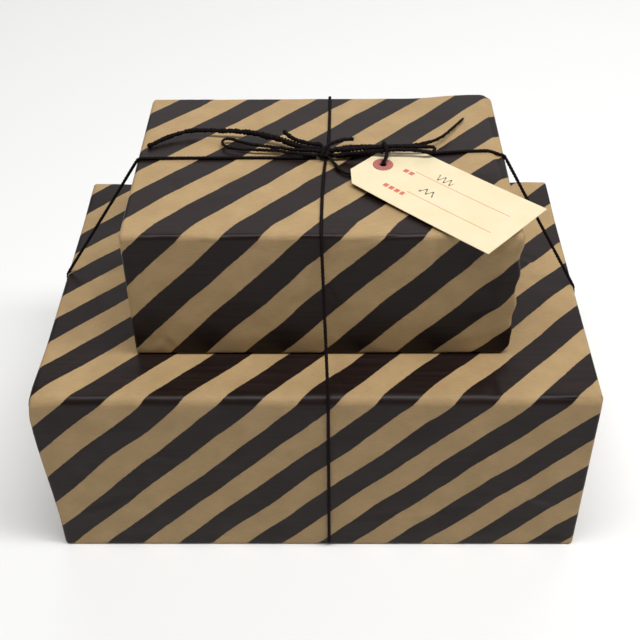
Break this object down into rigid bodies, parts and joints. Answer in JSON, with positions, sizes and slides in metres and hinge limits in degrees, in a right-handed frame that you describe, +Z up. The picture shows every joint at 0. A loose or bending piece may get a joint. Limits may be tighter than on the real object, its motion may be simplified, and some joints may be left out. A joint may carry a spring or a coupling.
{
  "type": "paper wrapped parcel pair",
  "caption": "Small paper wrapped box stacked on a larger box, tied crosswise with twine in a loose bow, with a strung card tag.",
  "frame": {"origin": "centre of the large parcel's base, on the surface it stands on", "axes": "+Z up; +X to the right along the parcels' length; -Y towards the front face"},
  "size_m": [0.3732, 0.255, 0.2555],
  "materials": {
    "wrapping_paper": "satin",
    "clear_tape": "gloss",
    "black_twine": "matte",
    "manila_card": "matte",
    "red_fibre": "matte"
  },
  "bodies": {
    "root": {"lower_parcel": "wrapping_paper", "upper_parcel": "wrapping_paper", "lower_left_end_tape": "clear_tape", "lower_right_end_tape": "clear_tape", "upper_left_end_tape": "clear_tape", "upper_right_end_tape": "clear_tape", "lower_seam_tape": "clear_tape", "upper_seam_tape": "clear_tape", "twine_front_back_band": "black_twine", "twine_side_band": "black_twine", "knot": "black_twine", "bow_loop_left": "black_twine", "bow_loop_right": "black_twine", "tail_left": "black_twine", "tail_right": "black_twine", "stub_left": "black_twine", "stub_right": "black_twine", "tag_tie": "black_twine", "tag_card": "manila_card", "tag_patch_front": "red_fibre", "tag_patch_back": "red_fibre"}
  },
  "joints": []
}
